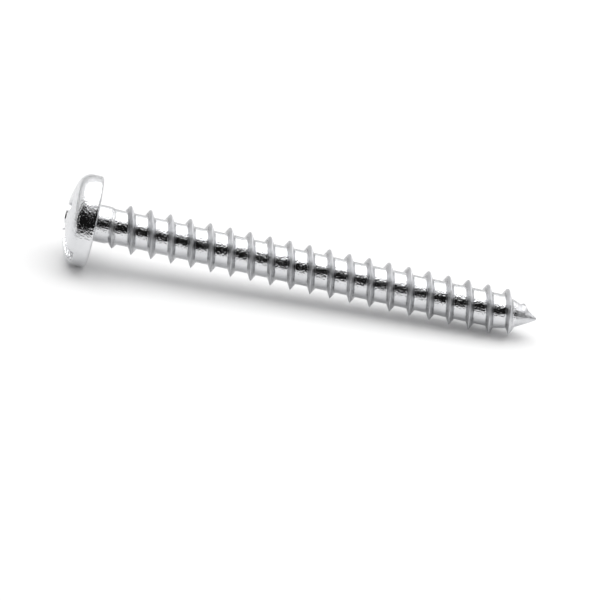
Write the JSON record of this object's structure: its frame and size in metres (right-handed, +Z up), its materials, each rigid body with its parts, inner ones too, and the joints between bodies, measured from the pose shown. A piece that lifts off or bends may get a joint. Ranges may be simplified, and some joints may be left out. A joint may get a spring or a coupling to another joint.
{
  "type": "sheet metal screw",
  "caption": "Pan-head sheet metal screw with coarse thread to the head, gimlet point and a slot-and-cross drive, lying on its side.",
  "frame": {"origin": "on the surface it lies on, under the middle of the screw's length and width", "axes": "+Z up, +X along the screw towards its point, +Y across it; the screw leans about 3 degrees, point down, because the rim of its head is wider than its thread"},
  "size_m": [0.0548, 0.0106, 0.0106],
  "materials": {
    "zinc_plating": "bright zinc plating, polished, with slightly mottled reflections"
  },
  "bodies": {
    "root": {"screw": "zinc_plating"}
  },
  "joints": []
}
